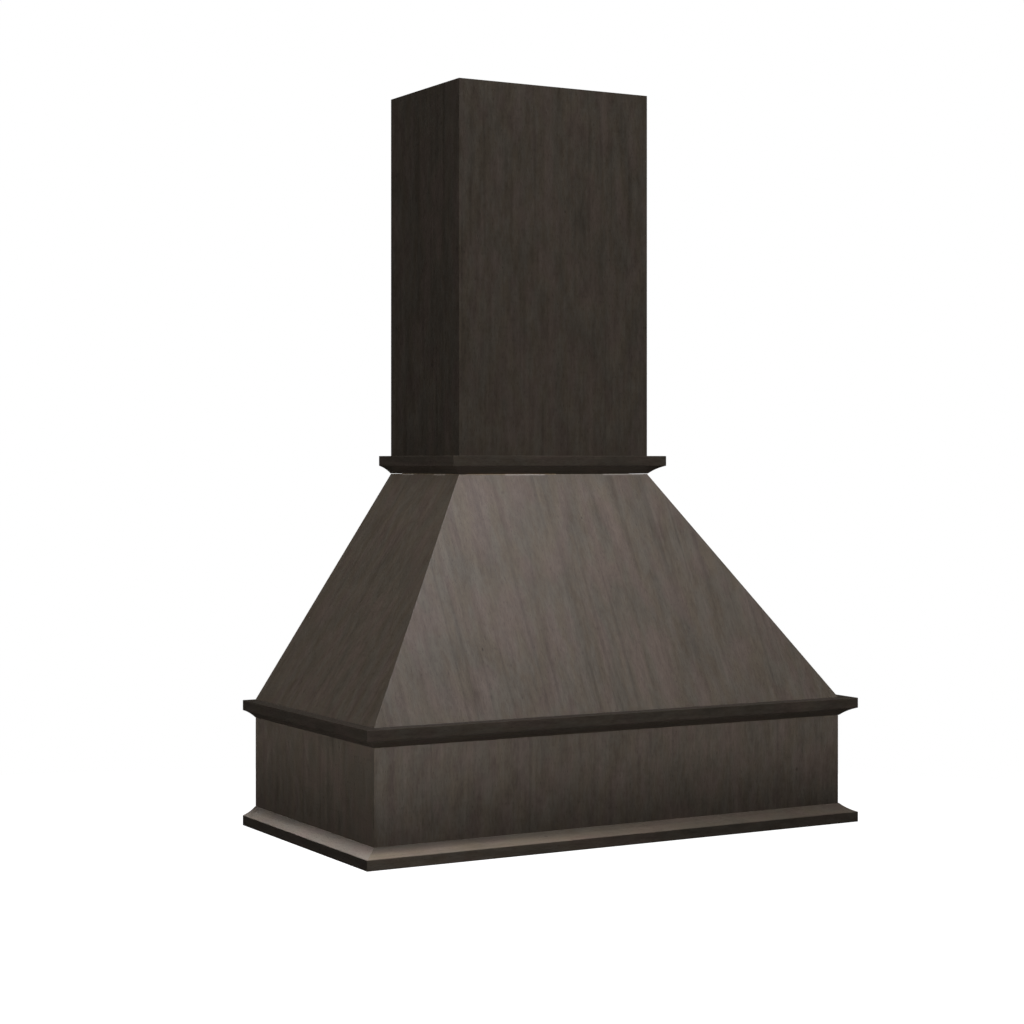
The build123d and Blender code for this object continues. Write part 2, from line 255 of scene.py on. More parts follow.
@dataclass(frozen=True)
class Board:
    """How one piece is cut: the run of its grain, its show face and a point of that face."""

    name: str
    grain: Vector
    face: Vector
    origin: Vector
    least_facing: ClassVar[float] = 0.6

    @classmethod
    def panel(cls, name: str, side: Side, grain: Vector) -> "Board":
        """A board with its show face on one side of the cover.

        Args:
            name: The CAD node.
            side: The side that it shows.
            grain: Roughly the way the grain runs. It is laid into the show face.

        Returns:
            The board.
        """
        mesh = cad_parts[name].data
        showing = [face for face in mesh.polygons if face.normal.dot(side.outward) > cls.least_facing]
        largest = max(showing, key=lambda face: face.area)
        face = largest.normal.copy()
        laid = (grain - face * grain.dot(face)).normalized()
        return cls(name, laid, face, largest.center.copy())

    @classmethod
    def stick(cls, name: str) -> "Board":
        """A hidden board or block, with its grain along its longest side and its face across the thinnest.

        Args:
            name: The CAD node.

        Returns:
            The board.
        """
        low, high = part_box(name)
        size = high - low
        order = sorted(range(3), key=lambda axis: size[axis])
        axes = [Vector([float(axis == index) for index in range(3)]) for axis in order]
        return cls(name, axes[2], axes[0], high)

    @property
    def turn(self) -> Matrix:
        """Turns the part's frame into across, out of the face and along the grain."""
        return Matrix((self.face.cross(self.grain), self.face, self.grain))

    @property
    def shift(self) -> Vector:
        """A steady offset that gives each piece its own stretch of wood."""
        draw = random.Random(self.name)
        return Vector([draw.uniform(10.0, 90.0) for _ in range(3)])


@dataclass(frozen=True)
class Grain:
    """One layer of soft noise, drawn out along the grain.

    Its features are width by length in size. It holds as many finer layers as detail says, each keep
    times as strong as the one before. Patches that are cut from it begin at low and are whole from high.
    """

    width: float
    length: float
    detail: float = 1.0
    keep: float = 0.5
    low: float = 0.0
    high: float = 1.0


@dataclass(frozen=True)
class Marks:
    """Scattered long marks, one to a cell that is width by length in size.

    Size is half a mark's size as a share of its cell, share is the part of the cells that hold a mark,
    and dark is how much darker the wood is inside one.
    """

    width: float
    length: float
    size: float
    share: float
    dark: float


class Timber:
    """A board's own directions inside a graph, in which its grain is drawn."""

    def __init__(self, graph: Graph, board: Board) -> None:
        """Lays the board's directions into the graph.

        Args:
            graph: The graph to add to.
            board: How the piece is cut.
        """
        self.graph = graph
        self.shift = board.shift
        place = graph.node("TexCoord")
        turn = board.turn
        sockets = {
            "Vector": place.outputs["Object"],
            "Location": tuple(-(turn @ board.origin)),
            "Rotation": turn.to_euler(),
        }
        self.place = place.outputs["Object"]
        self.point = graph.node("Mapping", {"vector_type": "POINT"}, sockets).outputs[0]
        self.depth = abs(graph.dot(self.point, Vector((0.0, 1.0, 0.0))))
        self.normal = place.outputs["Normal"]
        self.facing = graph.dot(self.normal, board.face)
        self.ending = abs(graph.dot(self.normal, board.grain))

    def stretched(self, width: float, length: float) -> Socket:
        """The point measured in grains of a given size.

        Args:
            width: Size of a feature across the grain.
            length: Its size along the grain.

        Returns:
            The stretched point.
        """
        scale = (1.0 / width, 1.0 / width, 1.0 / length)
        sockets = {0: self.point, 1: scale, 2: tuple(self.shift)}
        return self.graph.vector("MULTIPLY_ADD", sockets).outputs[0]

    def noise(self, grain: Grain) -> Scalar:
        """Draws one layer of noise.

        Args:
            grain: The layer.

        Returns:
            Noise from 0 to 1, mostly near 0.5.
        """
        stretched = self.stretched(grain.width, grain.length)
        sockets = {"Vector": stretched, "Scale": 1.0, "Detail": grain.detail, "Roughness": grain.keep}
        return self.graph.scalar(self.graph.node("TexNoise", None, sockets))

    def patches(self, grain: Grain) -> Scalar:
        """A layer of noise cut to patches, 1 inside them and 0 outside."""
        return self.graph.smooth(self.noise(grain), grain.low, grain.high)

    def marks(self, marks: Marks) -> Scalar:
        """Draws scattered marks.

        Args:
            marks: Their sizes and how many there are.

        Returns:
            1 inside a mark and 0 elsewhere, with a soft edge.
        """
        graph = self.graph
        sockets = {"Vector": self.stretched(marks.width, marks.length), "Scale": 1.0}
        cells = graph.node("TexVoronoi", None, sockets)
        chance = graph.scalar(graph.node("SeparateColor", None, {0: cells.outputs["Color"]}))
        chosen = graph.smooth(chance, 1.0 - marks.share, 1.02 - marks.share)
        return chosen * (1.0 - graph.smooth(graph.scalar(cells), 0.3 * marks.size, marks.size))


# ---- Finishes ----
@dataclass(frozen=True)
class Surface:
    """What shows at each point: the colour, the roughness and the relief in metres."""

    colour: Socket
    roughness: Number
    relief: Scalar

    def over(self, graph: Graph, below: "Surface", share: Scalar) -> "Surface":
        """Lays this surface over another one.

        Args:
            graph: The graph of both.
            below: The surface underneath.
            share: 1 where this one covers it.

        Returns:
            The surface that then shows.
        """
        colour = graph.mix(share, below.colour, self.colour)
        roughness = graph.blend(share, below.roughness, self.roughness)
        return Surface(colour, roughness, graph.blend(share, below.relief, self.relief))


@dataclass(frozen=True)
class Finish(ABC):
    """A way to finish a piece, with what is the same all over it."""

    SLOT: ClassVar[str] = ""
    specular: float = 0.5
    metallic: float = 0.0

    @abstractmethod
    def surface(self, timber: Timber) -> Surface:
        """Draws the finish in a board's own directions."""

    def material(self, board: Board) -> bpy.types.Material:
        """Makes the material of one piece.

        Args:
            board: How the piece is cut.

        Returns:
            The new material.
        """
        material = bpy.data.materials.new(f"{self.SLOT}_{board.name}")
        graph = Graph(material)
        surface = self.surface(Timber(graph, board))
        relief = {"Height": surface.relief, "Strength": 1.0, "Distance": 1.0}
        bump = graph.node("Bump", None, relief)
        sockets = {
            "Base Color": surface.colour,
            "Roughness": surface.roughness,
            "Metallic": self.metallic,
            "Specular IOR Level": self.specular,
            "Normal": bump.outputs[0],
        }
        shader = graph.node("BsdfPrincipled", None, sockets)
        graph.node("OutputMaterial", None, {"Surface": shader.outputs[0]})
        return material


@dataclass(frozen=True)
class Plywood(Finish):
    """Unfinished birch plywood, with its plies on the edges."""

    SLOT: ClassVar[str] = "raw_plywood"
    specular: float = 0.25
    pale: Colour = (0.600, 0.450, 0.290)
    tan: Colour = (0.500, 0.355, 0.205)
    end: Colour = (0.290, 0.185, 0.095)
    glue: Colour = (0.150, 0.085, 0.042)
    # The near black of the tops: stain, and also painted shade for the seam above them.
    wiped: Colour = (0.030, 0.024, 0.019)
    figure: Grain = Grain(0.028, 0.260, 3.0, low=0.30, high=0.68)
    fibre: Grain = Grain(0.0016, 0.040, 2.0)
    pores: Marks = Marks(0.0040, 0.022, 0.10, 0.55, 0.28)
    cut_fibre: Grain = Grain(0.0007, 0.0030, 2.0)
    ply: float = 0.00138
    fibre_height: float = 0.00003
    pore_depth: float = 0.00005
    roughness: float = 0.66
    roughening: float = 0.14
    # Above this height the wood is near black: stain, and also painted shade for the seam under the neck
    # moulding.
    wiped_above: float = 9.0
    wipe_ends: tuple[float, float] = (0.003, 0.001)

    def surface(self, timber: Timber) -> Surface:
        """Draws the face veneer, and the plies where the edge shows.

        Args:
            timber: The board's directions.

        Returns:
            The bare plywood.
        """
        graph = timber.graph
        fibre = timber.noise(self.fibre)
        pores = timber.marks(self.pores)
        face = graph.mix(timber.patches(self.figure), self.pale, self.tan)
        face = graph.scaled(face, (0.84 + 0.32 * fibre) * (1.0 - self.pores.dark * pores))
        layer = graph.math("PINGPONG", timber.depth * (1.0 / self.ply), 1.0)
        crossed = graph.smooth(layer, 0.44, 0.56)
        plies = ((0.38, self.tan), (0.50, self.glue), (0.62, self.end))
        edge = graph.node("ValToRGB", {"stops": plies}, {0: layer}).outputs["Color"]
        edge = graph.scaled(edge, 0.80 + 0.40 * timber.noise(self.cut_fibre))
        flat = graph.smooth(abs(timber.facing), 0.55, 0.80)
        relief = flat * (self.fibre_height * fibre - self.pore_depth * pores)
        relief = relief - (1.0 - flat) * self.pore_depth * crossed
        # Near black above the given height: stain and painted shade for the seam.
        start, full = (self.wiped_above - below for below in self.wipe_ends)
        seam_mask = graph.smooth(graph.dot(timber.place, UP), start, full)
        colour = graph.mix(seam_mask, graph.mix(flat, edge, face), self.wiped)
        return Surface(colour, self.roughness + self.roughening * (fibre - 0.5), relief)


@dataclass(frozen=True)
class Poplar(Finish):
    """Planed, unfinished poplar, cream with green and brown heartwood."""

    SLOT: ClassVar[str] = "raw_poplar"
    specular: float = 0.25
    cream: Colour = (0.610, 0.500, 0.320)
    heart: Colour = (0.400, 0.370, 0.200)
    late: Colour = (0.440, 0.310, 0.165)
    wander: Grain = Grain(0.030, 0.350, 2.0)
    fibre: Grain = Grain(0.0009, 0.030, 2.0)
    streaks: Grain = Grain(0.012, 0.300, 2.0, low=0.50, high=0.72)
    ring: float = 0.0045
    wandering: float = 0.016
    pith: float = 0.055
    fibre_height: float = 0.00004
    late_depth: float = 0.00003
    roughness: float = 0.60
    roughening: float = 0.16

    def surface(self, timber: Timber) -> Surface:
        """Draws growth rings about a pith outside the stick, with heartwood streaks and fibres.

        Args:
            timber: The board's directions.

        Returns:
            The bare poplar.
        """
        graph = timber.graph
        wander = timber.noise(self.wander)
        centre = (self.pith, self.pith, 0.0)
        offset = graph.vector("ADD", {0: timber.point, 1: centre}).outputs[0]
        level = graph.vector("MULTIPLY", {0: offset, 1: (1.0, 1.0, 0.0)}).outputs[0]
        rings = (graph.length(level) + self.wandering * wander) * (1.0 / self.ring)
        late = graph.smooth(graph.math("PINGPONG", rings, 1.0), 0.55, 1.0)
        fibre = timber.noise(self.fibre)
        colour = graph.mix(0.75 * timber.patches(self.streaks), self.cream, self.heart)
        colour = graph.mix(0.40 * late, colour, self.late)
        shade = (0.82 + 0.36 * fibre) * (1.0 - 0.30 * graph.smooth(timber.ending, 0.6, 0.9))
        relief = self.fibre_height * fibre - self.late_depth * late
        roughness = self.roughness + self.roughening * (fibre - 0.5)
        return Surface(graph.scaled(colour, shade), roughness, relief)


@dataclass(frozen=True)
class Zinc(Finish):
    """Yellow-passivated zinc on the wood screws."""

    SLOT: ClassVar[str] = "zinc_screw"
    metallic: float = 0.7
    bright: Colour = (0.700, 0.640, 0.480)
    dull: Colour = (0.480, 0.430, 0.300)
    cloud: Grain = Grain(0.0020, 0.0020, 3.0, low=0.35, high=0.65)
    turning: Grain = Grain(0.0040, 0.00025)
    turning_height: float = 0.00001
    roughness: float = 0.44
    roughening: float = 0.20

    def surface(self, timber: Timber) -> Surface:
        """Draws cloudy plating with fine turning marks.

        Args:
            timber: The screw's directions.

        Returns:
            The plated metal.
        """
        graph = timber.graph
        cloud = timber.noise(self.cloud)
        share = graph.smooth(cloud, self.cloud.low, self.cloud.high)
        colour = graph.mix(share, self.bright, self.dull)
        relief = self.turning_height * timber.noise(self.turning)
        return Surface(colour, self.roughness + self.roughening * cloud, relief)


class StainedWood(Enum):
    """The stained woods of the cover, by how pale they are beside the veneer, with the base run's solid wood
    made darker as painted shade.
    """

    VENEER = 1.00
    SOLID = 0.95
    # Painted shade: the same solid stain as the other runs, made darker on the base run under the waist
    # moulding.
    DARK_SOLID = 0.74


@dataclass(frozen=True)
class Stain(Finish):
    """Open-pored hardwood in an espresso stain under a satin lacquer, over bare wood."""

    SLOT: ClassVar[str] = "stained_veneer"
    specular: float = 0.18
    bare: Finish = Plywood()
    wood: StainedWood = StainedWood.VENEER
    grey: Colour = (0.0628, 0.0529, 0.0422)
    tan: Colour = (0.0662, 0.0527, 0.0396)
    pink: Colour = (0.0672, 0.0493, 0.0418)
    rubbed: Colour = (0.1500, 0.1150, 0.0850)
    streak: Grain = Grain(0.015, 0.260, 2.0, 0.9)
    figure: Grain = Grain(0.026, 0.086, 3.6, 1.0)
    thread: Grain = Grain(0.0011, 0.018)
    pores: Grain = Grain(0.0006, 0.0070, 0.0, low=0.62, high=0.74)
    lines: Grain = Grain(0.011, 0.420, low=0.57, high=0.70)
    specks: Marks = Marks(0.016, 0.030, 0.13, 0.22, 0.20)
    flecks: Marks = Marks(0.042, 0.080, 0.055, 0.40, 0.42)
    warmth: Grain = Grain(0.030, 0.080, 2.0, 0.7, 0.36, 0.64)
    blush: Grain = Grain(0.027, 0.070, low=0.44, high=0.66)
    wear: Grain = Grain(0.0060, 0.060, 2.0, low=0.46, high=0.66)
    middle_tone: float = 1.025
    strength: float = 1.0
    streaking: float = 0.42
    figuring: float = 1.12
    threading: float = 0.20
    pore_dark: float = 0.24
    line_dark: float = 0.13
    blushing: float = 0.55
    wearing: float = 0.15
    roughness: float = 0.49
    figure_roughening: float = 0.60
    pore_roughening: float = 0.18
    figure_height: float = 0.00020
    thread_height: float = 0.00003
    pore_depth: float = 0.00009
    fleck_depth: float = 0.00025

    def stained(self, timber: Timber) -> Surface:
        """Draws the stained wood itself, which is warmer where its figure is dark.

        Args:
            timber: The board's directions.

        Returns:
            The stained surface.
        """
        graph = timber.graph
        streak, figure, thread = (timber.noise(layer) for layer in (self.streak, self.figure, self.thread))
        pores = timber.patches(self.pores)
        flecks = timber.marks(self.flecks)
        tone = self.streaking * (streak - 0.5) + self.figuring * (figure - 0.5)
        tone = self.middle_tone + self.strength * (tone + self.threading * (thread - 0.5))
        tone = tone * (1.0 - self.specks.dark * timber.marks(self.specks)) * (1.0 - self.flecks.dark * flecks)
        tone = tone * (1.0 - self.pore_dark * pores) * (1.0 - self.line_dark * timber.patches(self.lines))
        warm = timber.noise(self.warmth) - (figure - 0.5)
        warm = graph.smooth(warm, self.warmth.low, self.warmth.high)
        colour = graph.mix(warm, self.grey, self.tan)
        colour = graph.mix(self.blushing * timber.patches(self.blush), colour, self.pink)
        colour = graph.scaled(colour, self.wood.value * tone)
        arris = graph.smooth(timber.facing, 0.74, 0.82) * (1.0 - graph.smooth(timber.facing, 0.93, 0.985))
        colour = graph.mix(self.wearing * arris * timber.patches(self.wear), colour, self.rubbed)
        roughness = self.roughness + self.figure_roughening * (figure - 0.5) + self.pore_roughening * pores
        relief = self.figure_height * figure + self.thread_height * thread
        relief = relief - self.pore_depth * pores - self.fleck_depth * flecks
        return Surface(colour, roughness, relief)

    def showing(self, timber: Timber) -> Scalar:
        """1 where the surface was stained."""
        return timber.graph.smooth(timber.facing, 0.55, 0.68)

    def surface(self, timber: Timber) -> Surface:
        """Lays the stain over the bare wood.

        Args:
            timber: The board's directions.

        Returns:
            The stained and the bare stretches together.
        """
        bare = self.bare.surface(timber)
        return self.stained(timber).over(timber.graph, bare, self.showing(timber))


@dataclass(frozen=True)
class StainedMoulding(Stain):
    """Solid moulding, stained all round but for its back and its end cuts."""

    SLOT: ClassVar[str] = "stained_moulding"
    bare: Finish = Poplar()
    wood: StainedWood = StainedWood.SOLID
    # Painted shade: how dark the hollow against the panel is made, where that begins, and how dark the level
    # tops are made.
    pooling: float = 0.0
    pool_edge: float = 0.36
    standing: float = 0.66
    projection: float = 0.023
    reach: tuple[float, float] = (-0.457, 0.457)

    def stained(self, timber: Timber) -> Surface:
        """Paints shade into the stain: darker on level tops, and darker in the hollow against the panel.

        The painted shade in the hollow is strongest at the cover's left, and fades to the right.

        Args:
            timber: The run's directions.

        Returns:
            The stained surface.
        """
        graph = timber.graph
        plain = super().stained(timber)
        start, end = self.reach
        across = graph.dot(timber.place, RIGHTWARD)
        # Painted shade in the hollow against the panel, fading from the cover's left to its right.
        hollow_mask = graph.smooth(timber.depth, self.pool_edge * self.projection, self.projection)
        hollow_mask = hollow_mask * (1.0 - graph.smooth(across, start, end))
        # Painted shade on the level tops.
        level = graph.smooth(graph.dot(timber.normal, UP), 0.45, 0.75)
        shade = (1.0 - self.pooling * hollow_mask) * (1.0 - self.standing * level)
        return Surface(graph.scaled(plain.colour, shade), plain.roughness, plain.relief)

    def showing(self, timber: Timber) -> Scalar:
        """1 where the surface was stained."""
        graph = timber.graph
        return graph.smooth(timber.facing, -0.80, -0.60) * (1.0 - graph.smooth(timber.ending, 0.80, 0.95))


@dataclass(frozen=True)
class RubbedStain(Stain):
    """The stained veneer of the canopy, with pale runs painted along its head as a highlight, where light
    shows at the seam under the neck moulding.
    """

    strength: float = 0.94
    head: float = 0.0
    along: Vector = RIGHTWARD
    runs: tuple[tuple[float, float], ...] = ()
    height: float = 0.0019
    depth: float = 0.004
    fade: float = 0.004
    cut_ends: tuple[float, float] = (0.0004, 0.0001)
    # The colour of the painted highlight runs.
    pale: Colour = (0.1350, 0.1180, 0.1040)

    def stained(self, timber: Timber) -> Surface:
        """Adds the pale runs of painted highlight to the stain.

        Args:
            timber: The board's directions.

        Returns:
            The stained surface.
        """
        graph = timber.graph
        plain = super().stained(timber)
        below = self.head - graph.dot(timber.place, UP)
        level = graph.dot(timber.place, self.along)
        outer = 1.0 - graph.smooth(timber.depth, 0.75 * self.depth, self.depth)
        # Pale runs painted as a highlight along the head and its cut, where light shows at the seam under the
        # neck moulding.
        near = outer * (1.0 - graph.smooth(below, 0.7 * self.height, self.height))
        inside: Number = 0.0
        for start, end in self.runs:
            run = graph.smooth(level, start, start + self.fade)
            inside = run * (1.0 - graph.smooth(level, end - self.fade, end)) + inside
        return Surface(graph.mix(near * inside, plain.colour, self.pale), plain.roughness, plain.relief)

    def showing(self, timber: Timber) -> Scalar:
        """1 where the surface was stained, which takes in the cut at the head.

        Args:
            timber: The board's directions.

        Returns:
            A number from 0 to 1.
        """
        graph = timber.graph
        start, full = (self.head - below for below in self.cut_ends)
        cut = graph.smooth(graph.dot(timber.place, UP), start, full)
        return graph.math("MAXIMUM", super().showing(timber), cut)


# ---- Sub-assemblies ----
@dataclass
class SubAssembly(ABC):
    """A module of the cover, whose pieces it finishes one by one."""

    name: str

    def finish(self, board: Board, finish: Finish) -> None:
        """Puts a finish on one piece.

        Args:
            board: How the piece is cut.
            finish: The finish that it gets.
        """
        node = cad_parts[board.name]
        material = finish.material(board)
        for slot in node.material_slots:
            slot.material = material
        low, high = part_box(board.name)
        size = " x ".join(f"{1000 * length:.1f}" for length in high - low)
        log.info("%s: %s, %s, %s mm", self.name, board.name, finish.SLOT, size)

    def sticks(self, finish: Finish, names: Iterable[str]) -> None:
        """Finishes hidden boards and blocks.

        Args:
            finish: The finish that they share.
            names: Their CAD nodes.
        """
        for name in names:
            self.finish(Board.stick(name), finish)

    @abstractmethod
    def build(self) -> None:
        """Finishes every piece of the module."""


@dataclass
class MouldingBand(SubAssembly):
    """Three runs of moulding round the cover, mitred at the front corners."""

    wood: StainedWood = StainedWood.SOLID
    # Painted shade in the hollow against the panel (front and right runs, then the left run) and on the level
    # tops.
    pooling: float = 0.0
    left_pooling: float = 0.0
    standing: float = 0.66

    def build(self) -> None:
        """Stains the three runs, each with its grain lengthwise."""
        low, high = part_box(f"{self.name}_moulding_front")
        plain = StainedMoulding(wood=self.wood, standing=self.standing, reach=(low.x, high.x))
        for side in Side:
            board = Board.panel(f"{self.name}_moulding_{side.word}", side, side.along)
            pooling = self.left_pooling if side is Side.LEFT else self.pooling
            self.finish(board, replace(plain, pooling=pooling))


@dataclass
class Casing(SubAssembly):
    """Three mitred boards with splines in their corners."""

    def panel_finish(self, side: Side) -> Finish:
        """The finish of the board that shows on one side."""
        return Stain()

    def build(self) -> None:
        """Stains the boards, with their grain from foot to head, and leaves the splines bare."""
        for side in Side:
            board = Board.panel(f"{self.name}_{side.word}_panel", side, UP)
            self.finish(board, self.panel_finish(side))
        self.sticks(Plywood(), [f"{self.name}_mitre_splines"])


@dataclass
class Apron(Casing):
    """The low box at the foot, with the frame that carries the ventilator."""

    name: str = "apron"

    def panel_finish(self, side: Side) -> Finish:
        """The stain over a livelier figure."""
        return Stain(strength=1.22)

    def build(self) -> None:
        """Finishes the casing and what is inside it."""
        super().build()
        corners = [f"{depth}_{side}_post" for depth in ("front", "back") for side in ("left", "right")]
        places = ("front", "back", "left", "right")
        self.sticks(Plywood(), ["apron_back_panel"])
        self.sticks(Plywood(), [f"insert_frame_{place}" for place in places])
        self.sticks(Poplar(), corners)
        self.sticks(Poplar(), [f"ledger_{place}" for place in places])
        self.sticks(Zinc(), ["ledger_screws", "insert_frame_screws"])


@dataclass
class Canopy(Casing):
    """The tapered middle, with pale runs painted along its head as a highlight where the neck moulding sits
    on it.
    """

    name: str = "canopy"
    # Where the painted highlight runs lie, as shares of each side's run.
    front_rubs: tuple[tuple[float, float], ...] = ((0.23, 0.45), (0.75, 0.985))
    side_rubs: tuple[tuple[float, float], ...] = ((0.17, 0.36), (0.64, 0.82))

    def panel_finish(self, side: Side) -> Finish:
        """The stain with the painted highlight runs of one side.

        Args:
            side: The side that the board shows.

        Returns:
            The finish.
        """
        low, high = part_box("chimney_front_panel")
        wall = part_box("chimney_left_panel")[1].y
        if side is Side.FRONT:
            start, span, shares, along = low.x, high.x - low.x, self.front_rubs, RIGHTWARD
        else:
            start, span, shares, along = wall, low.y - wall, self.side_rubs, BACKWARD
        ends = [sorted((start + span * first, start + span * last)) for first, last in shares]
        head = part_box(f"canopy_{side.word}_panel")[1].z
        return RubbedStain(head=head, along=along, runs=tuple((first, last) for first, last in ends))

    def build(self) -> None:
        """Finishes the casing and what holds it to the wall and to its neighbours."""
        super().build()
        self.sticks(Poplar(), [f"canopy_{side.word}_nailer" for side in Side])
        self.sticks(Poplar(), [f"canopy_{side}_hip_block" for side in ("left", "right")])
        hanging = ["hanging_rail", "hanging_rail_left_block", "hanging_rail_right_block", "wall_cleat"]
        self.sticks(Poplar(), hanging)
        rails = [f"canopy_{side}_head_rail" for side in ("left", "right")]
        # The rail tops are near black, as stain and as painted shade for the seam above them.
        self.sticks(Plywood(wiped_above=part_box(rails[0])[1].z), rails)


@dataclass
class Chimney(Casing):
    """The square upper part that hides the duct."""

    name: str = "chimney"

    def build(self) -> None:
        """Finishes the casing, its rails, blocks and cleats, and the screws at its foot."""
        super().build()
        sides = ("left", "right")
        self.sticks(Poplar(), [f"chimney_{end}_back_rail" for end in ("top", "bottom")])
        self.sticks(Poplar(), [f"chimney_{side}_corner_block" for side in sides])
        self.sticks(Poplar(), [f"chimney_{side}_{end}_cleat" for side in sides for end in ("foot", "head")])
        self.sticks(Zinc(), ["chimney_foot_screws"])


# ---- Studio ----
@dataclass(frozen=True)
class Lamp:
    """A rectangular softbox.

    It lights only the nodes in lights, or all but those in spares, and those in past cast no shadow from it:
    in the photograph the chimney and the mouldings cast none.
    """

    name: str
    place: Sequence[float]
    aim: Vector
    size: tuple[float, float]
    watts: float
    glossy: bool = True
    spread: float = 180.0
    lights: tuple[str, ...] = ()
    tint: Colour = WHITE
    spares: tuple[str, ...] = ()
    past: tuple[str, ...] = ()

    def build(self) -> bpy.types.Object:
        """Hangs the lamp.

        Returns:
            The lamp's object.
        """
        light = bpy.data.lights.new(self.name, "AREA")
        light.shape = "RECTANGLE"
        light.size, light.size_y = self.size
        light.energy = self.watts
        light.color = self.tint
        light.spread = math.radians(self.spread)
        lamp = bpy.data.objects.new(self.name, light)
        lamp.location = self.place
        lamp.rotation_euler = (self.aim - Vector(self.place)).to_track_quat("-Z", "Y").to_euler()
        lamp.visible_camera = False
        lamp.visible_glossy = self.glossy
        bpy.context.scene.collection.objects.link(lamp)
        if self.past:
            lamp.light_linking.blocker_collection = self.all_but("shines_past", self.past)
        if self.lights:
            lamp.light_linking.receiver_collection = self.group(f"{self.name}_lights", self.lights)
        elif self.spares:
            lamp.light_linking.receiver_collection = self.all_but("spares", self.spares)
        log.info("studio: lamp %s, %.2f W", self.name, self.watts)
        return lamp

    @staticmethod
    def group(name: str, nodes: Iterable[str]) -> bpy.types.Collection:
        """Gathers CAD nodes for a lamp.

        Args:
            name: The new collection's name.
            nodes: The CAD nodes in it.

        Returns:
            The collection.
        """
        group = bpy.data.collections.new(name)
        for node in nodes:
            group.objects.link(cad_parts[node])
        return group

    def all_but(self, word: str, nodes: Iterable[str]) -> bpy.types.Collection:
        """Gathers CAD nodes that a lamp leaves out.

        Args:
            word: What the collection is for.
            nodes: The CAD nodes to leave out.

        Returns:
            The collection.
        """
        group = self.group(f"{self.name}_{word}", nodes)
        for item in group.collection_objects:
            item.light_linking.link_state = "EXCLUDE"
        return group


